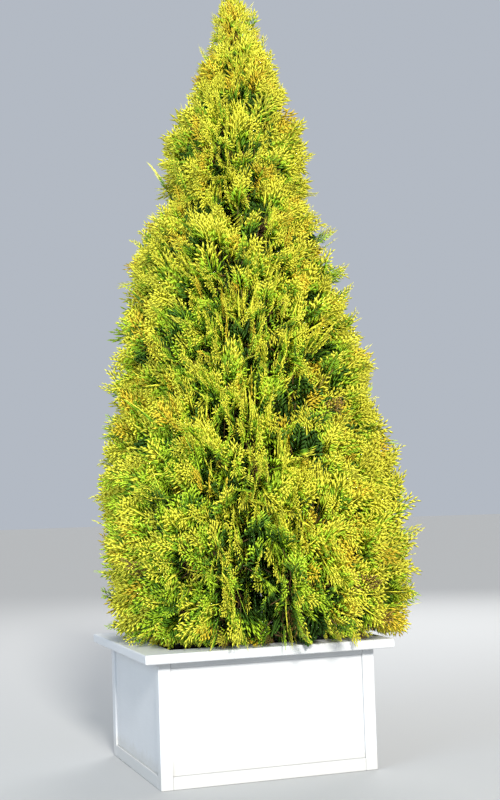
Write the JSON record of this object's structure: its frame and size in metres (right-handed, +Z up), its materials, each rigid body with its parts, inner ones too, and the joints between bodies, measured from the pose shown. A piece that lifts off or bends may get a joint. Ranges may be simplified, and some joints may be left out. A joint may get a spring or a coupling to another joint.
{
  "type": "potted thuja",
  "caption": "Golden conical conifer with dense foliage to its foot, on a hidden trunk, growing in a white panelled rectangular planter box with a wide flat rim.",
  "frame": {"origin": "centre of the planter's flat underside, at the ground", "axes": "+Z up along the tree, +X along the planter's long front towards its right end, the front faces -Y"},
  "size_m": [1.1472, 1.19, 2.6569],
  "materials": {
    "white_paint": "white painted boards, satin",
    "soil": "dark crumbly potting soil, matte",
    "bark": "thin stringy red-brown bark, matte",
    "foliage": "golden yellow-green scale foliage, satin"
  },
  "bodies": {
    "root": {"top_rail_front": "white_paint", "bottom_rail_front": "white_paint", "panel_front": "white_paint", "rim_front": "white_paint", "top_rail_right": "white_paint", "bottom_rail_right": "white_paint", "panel_right": "white_paint", "rim_right": "white_paint", "top_rail_back": "white_paint", "bottom_rail_back": "white_paint", "panel_back": "white_paint", "rim_back": "white_paint", "top_rail_left": "white_paint", "bottom_rail_left": "white_paint", "panel_left": "white_paint", "rim_left": "white_paint", "post_front_left": "white_paint", "post_front_right": "white_paint", "post_back_left": "white_paint", "post_back_right": "white_paint", "planter_floor": "white_paint", "soil": "soil", "trunk": "bark", "skirt_bough_1": "bark", "skirt_bough_2": "bark", "skirt_bough_3": "bark", "skirt_bough_4": "bark", "skirt_bough_5": "bark", "skirt_bough_6": "bark", "lower_bough_1": "bark", "lower_bough_2": "bark", "lower_bough_3": "bark", "lower_bough_4": "bark", "lower_bough_5": "bark", "skirt_mass_1": "foliage", "skirt_mass_2": "foliage", "skirt_mass_3": "foliage", "skirt_mass_4": "foliage", "skirt_mass_5": "foliage", "skirt_mass_6": "foliage", "lower_mass_1": "foliage", "lower_mass_2": "foliage", "lower_mass_3": "foliage", "lower_mass_4": "foliage", "lower_mass_5": "foliage", "middle_mass_1": "foliage", "middle_mass_2": "foliage", "middle_mass_3": "foliage", "middle_mass_4": "foliage", "middle_mass_5": "foliage", "upper_mass_1": "foliage", "upper_mass_2": "foliage", "upper_mass_3": "foliage", "upper_mass_4": "foliage", "shoulder_mass_1": "foliage", "shoulder_mass_2": "foliage", "shoulder_mass_3": "foliage", "shoulder_mass_4": "foliage", "leader_mass_1": "foliage"}
  },
  "joints": []
}
